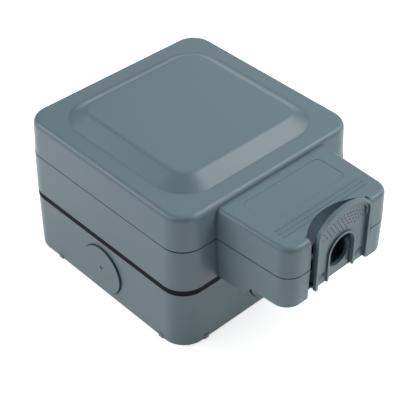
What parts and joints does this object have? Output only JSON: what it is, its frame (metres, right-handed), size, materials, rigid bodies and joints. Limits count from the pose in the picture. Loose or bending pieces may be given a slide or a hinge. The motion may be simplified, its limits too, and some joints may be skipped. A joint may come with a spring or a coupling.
{
  "type": "weatherproof fused spur",
  "caption": "Square weatherproof fused connection unit with hinged lid, snout with latch, rocker switch and pull-out fuse carrier.",
  "frame": {"origin": "centre of the rear face, in the plane of the feet and of the rear knockout", "axes": "+Z out of the wall through the lid, -Y towards the snout (down on a wall), +Y towards the hinge, +X to the right seen from the front"},
  "size_m": [0.0948, 0.1349, 0.0687],
  "materials": {
    "case": "satin moulded",
    "rubber": "soft matte",
    "steel": "plated, fine brushed",
    "module": "gloss thermoset",
    "housing": "dark thermoset",
    "brass": "bright",
    "nickel": "nickel plated",
    "fuse_body": "fired ceramic",
    "red_lens": "clear red moulding",
    "lamp_glass": "clear glass"
  },
  "bodies": {
    "case": {"rear_box": "case", "box_gasket": "rubber", "front_frame": "case", "screw_seals": "rubber", "frame_screws": "steel", "hinge_pins": "steel", "flex_clamp": "case", "flex_clamp_screws": "steel", "module_gasket": "rubber", "module_faceplate": "module", "module_screws": "steel", "module_housing": "housing", "housing_screws": "steel", "supply_contacts": "brass", "pivot_contacts": "brass", "fuse_clips": "brass", "earth_link": "brass", "neon_lens": "red_lens", "neon_lamp": "lamp_glass", "supply_terminals": "brass", "load_terminals": "brass", "earth_terminals": "brass", "terminal_screws": "steel", "box_earth_terminal": "brass", "box_earth_screw": "steel"},
    "lid": {"lid": "case", "lid_seal": "rubber"},
    "latch": {"latch": "case"},
    "rocker": {"switch_rocker": "module", "switch_plungers": "housing", "plunger_springs": "steel"},
    "bridges": {"contact_bridges": "brass"},
    "carrier": {"fuse_carrier": "module", "fuse_tube": "fuse_body", "fuse_caps": "nickel"}
  },
  "joints": [
    {"name": "lid_hinge", "type": "hinge", "parent": "case", "child": "lid", "pos_m": [0, 0.0498, 0.0475], "axis": [-1, 0, 0], "range_deg": [0, 115]},
    {"name": "latch_pivot", "type": "hinge", "parent": "case", "child": "latch", "pos_m": [0, -0.079, 0.0374], "axis": [1, 0, 0], "range_deg": [0, 45]},
    {"name": "rocker_tilt", "type": "hinge", "parent": "case", "child": "rocker", "pos_m": [-0.013, 0, 0.0454], "axis": [1, 0, 0], "range_deg": [0, 16]},
    {"name": "bridge_tilt", "type": "hinge", "parent": "case", "child": "bridges", "pos_m": [-0.013, 0, 0.0362], "axis": [1, 0, 0], "range_deg": [-16, 0]},
    {"name": "carrier_slide", "type": "slide", "parent": "case", "child": "carrier", "axis": [0, 0, 1], "range_m": [0, 0.009]}
  ],
  "couplings": [
    {"joint": "bridge_tilt", "follows": "rocker_tilt", "ratio": -1}
  ]
}
